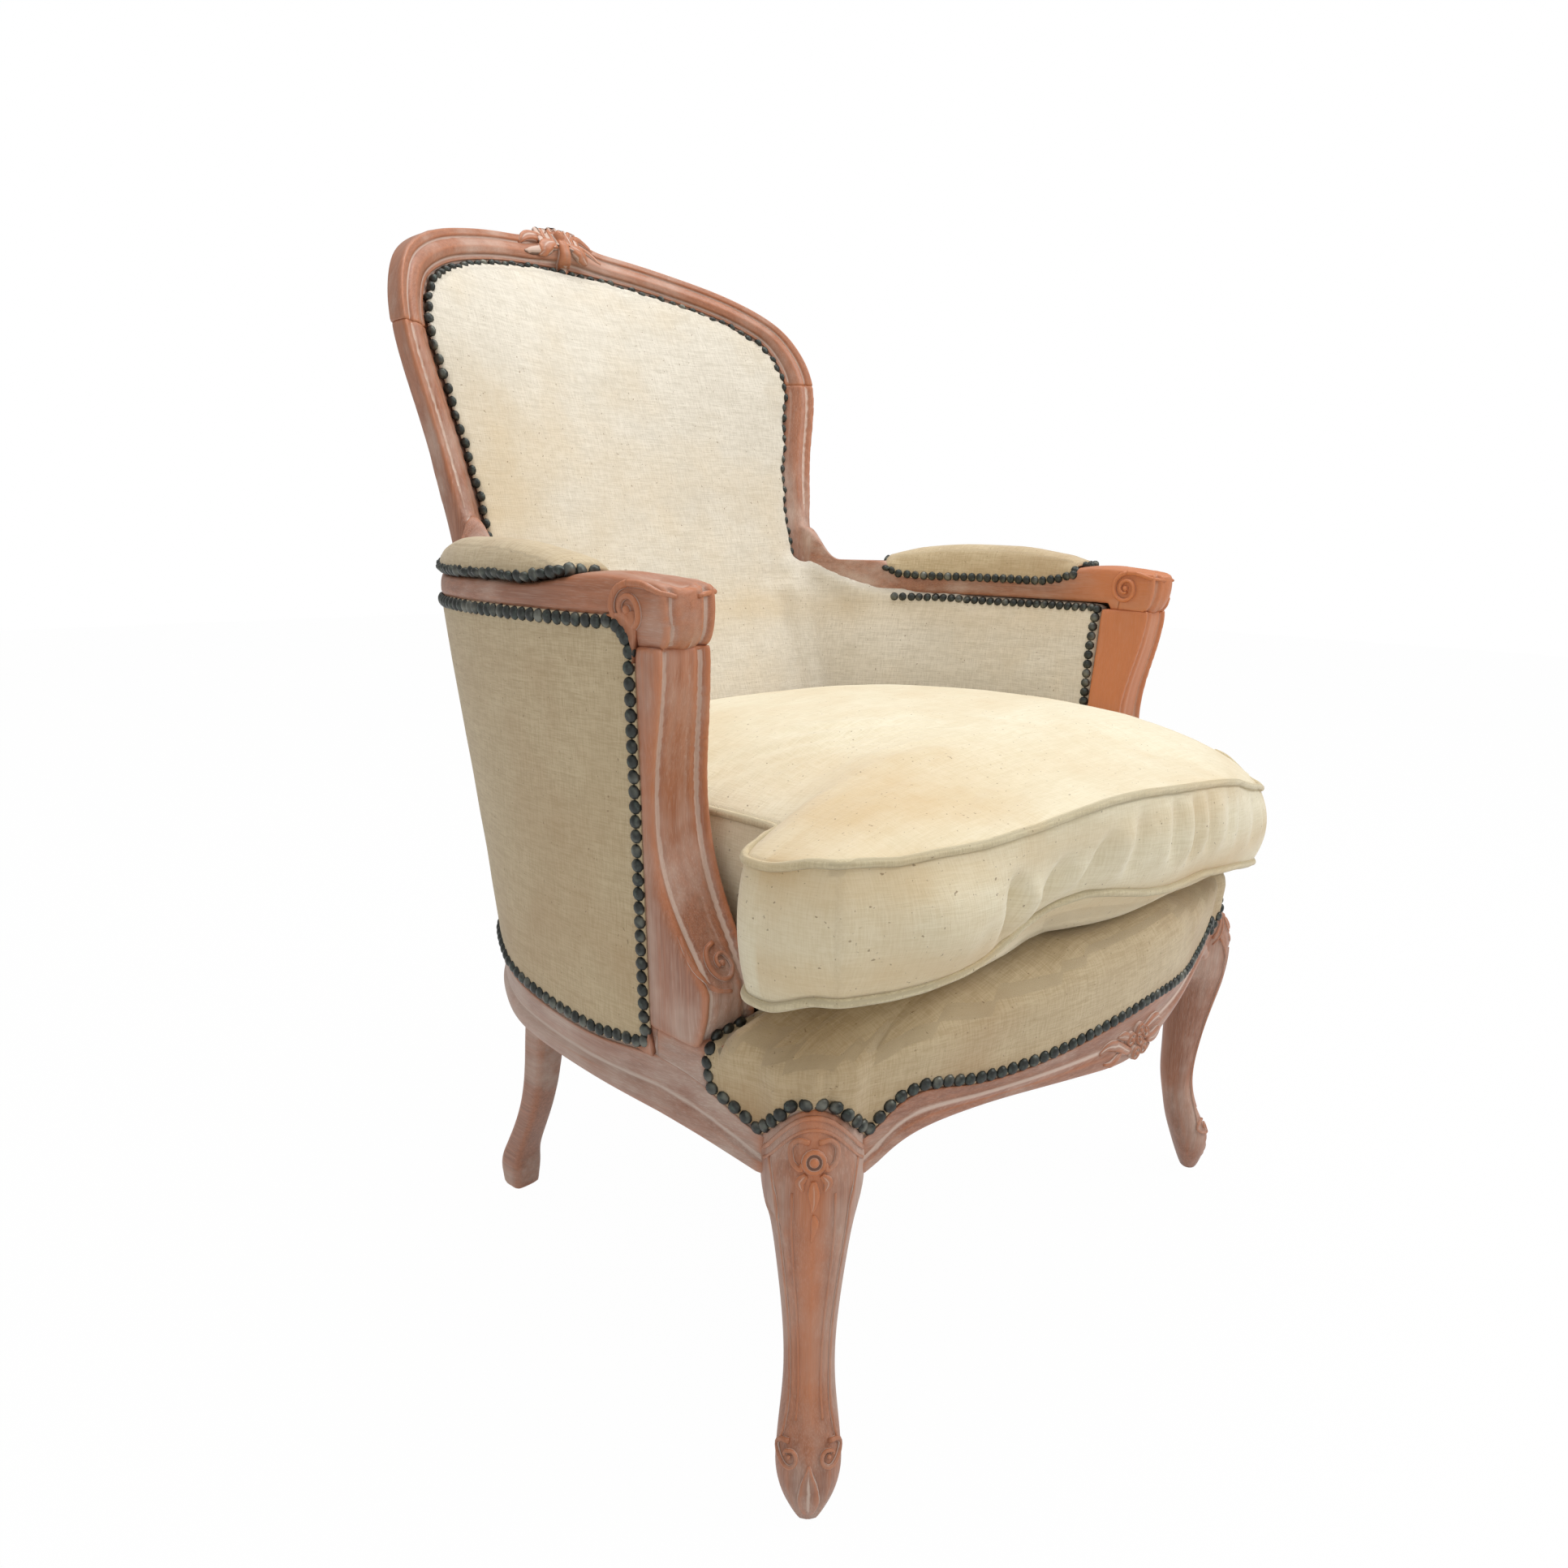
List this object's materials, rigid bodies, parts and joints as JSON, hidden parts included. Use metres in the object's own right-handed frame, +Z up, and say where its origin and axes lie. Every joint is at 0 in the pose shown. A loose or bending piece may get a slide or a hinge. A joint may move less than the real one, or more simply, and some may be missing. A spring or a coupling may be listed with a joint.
{
  "type": "upholstered armchair",
  "caption": "Closed-arm upholstered armchair with a moulded serpentine beech frame, hollow back, cabriole legs and a loose seat cushion.",
  "frame": {"origin": "centre of the footprint, on the floor", "axes": "+X to the sitter's left, that is to the right of someone facing the chair; -Y is the chair's front; +Z is up"},
  "size_m": [0.7066, 0.8318, 1.012],
  "materials": {
    "limed_beech": "limed and washed, satin, moulded",
    "raw_beech": "sawn and unfinished",
    "cushion_linen": "plain weave slub linen, aged",
    "inner_linen": "plain weave slub linen",
    "outer_linen": "plain weave slub linen, darkened",
    "webbing": "woven jute webbing",
    "hessian": "open weave hessian",
    "dust_cloth": "black bottoming cloth",
    "spring_wire": "copper-washed steel wire",
    "screw_steel": "plain wood screws"
  },
  "bodies": {
    "frame": {"crest_rail": "limed_beech", "rear_post_left": "limed_beech", "rear_post_right": "limed_beech", "back_lower_rail": "limed_beech", "arm_rail_left": "limed_beech", "arm_rail_right": "limed_beech", "arm_post_left": "limed_beech", "arm_post_right": "limed_beech", "front_leg_left": "limed_beech", "front_leg_right": "limed_beech", "front_rail": "limed_beech", "side_rail_left": "limed_beech", "side_rail_right": "limed_beech", "rear_rail": "limed_beech", "tack_rail_left": "raw_beech", "tack_rail_right": "raw_beech", "corner_blocks": "raw_beech", "block_screws": "screw_steel", "joint_dowels": "raw_beech", "seat_webbing": "webbing", "seat_springs": "spring_wire", "seat_hessian": "hessian", "seat_deck": "inner_linen", "deck_border": "inner_linen", "dust_cover": "dust_cloth", "back_webbing": "webbing", "back_pad": "inner_linen", "inner_arm_pad_left": "inner_linen", "inner_arm_pad_right": "inner_linen", "outer_side_panel_left": "outer_linen", "outer_side_panel_right": "outer_linen", "outer_back_panel": "outer_linen", "arm_pad_left": "outer_linen", "arm_pad_right": "outer_linen"},
    "cushion": {"seat_cushion": "cushion_linen"}
  },
  "joints": [
    {"name": "cushion_lift", "type": "slide", "parent": "frame", "child": "cushion", "axis": [0, 0, 1], "range_m": [0, 0.25]}
  ]
}
